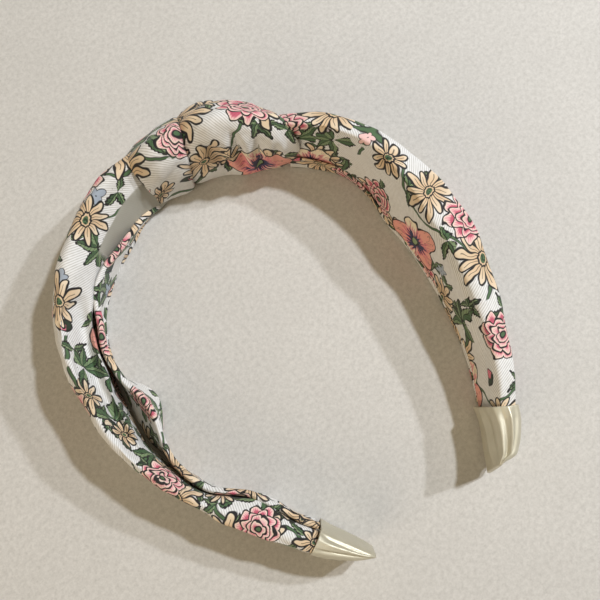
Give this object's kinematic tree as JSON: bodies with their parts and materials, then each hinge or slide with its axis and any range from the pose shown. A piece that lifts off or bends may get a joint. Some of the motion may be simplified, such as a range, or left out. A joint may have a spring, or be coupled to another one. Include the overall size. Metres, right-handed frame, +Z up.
{
  "type": "knotted headband",
  "caption": "Hair band with a springy C-shaped hoop in a loose flower-print cloth cover, knotted at the top, with pinched satin tips.",
  "frame": {"origin": "centre of the bounding box, on the table it lies on", "axes": "+Z up, square to the hoop's plane; +Y from the open end to the crown; +X to the side that the knot leans to"},
  "size_m": [0.1458, 0.1688, 0.0366],
  "materials": {
    "printed_cloth": "matte twill, flower print on off-white",
    "lining_cloth": "matte twill, same print",
    "satin": "champagne satin",
    "hoop_plastic": "natural, moulded"
  },
  "bodies": {
    "crown": {"hoop_crown": "hoop_plastic", "cover_crown": "printed_cloth", "lining_crown": "lining_cloth", "knot_lobe": "printed_cloth", "knot_wrap": "printed_cloth"},
    "left_arm": {"hoop_left_arm": "hoop_plastic", "cover_left": "printed_cloth", "lining_left": "lining_cloth", "cap_left": "satin"},
    "right_arm": {"hoop_right_arm": "hoop_plastic", "cover_right": "printed_cloth", "lining_right": "lining_cloth", "cap_right": "satin"}
  },
  "joints": [
    {"name": "left_flex", "type": "hinge", "parent": "crown", "child": "left_arm", "pos_m": [-0.0127, 0.06884, 0.0114], "axis": [0, 0, -1], "range_deg": [-5, 14], "stiffness_Nm_per_rad": 1.35},
    {"name": "right_flex", "type": "hinge", "parent": "crown", "child": "right_arm", "pos_m": [0.04515, 0.04544, 0.0114], "axis": [0, 0, 1], "range_deg": [-5, 14], "stiffness_Nm_per_rad": 1.35}
  ]
}
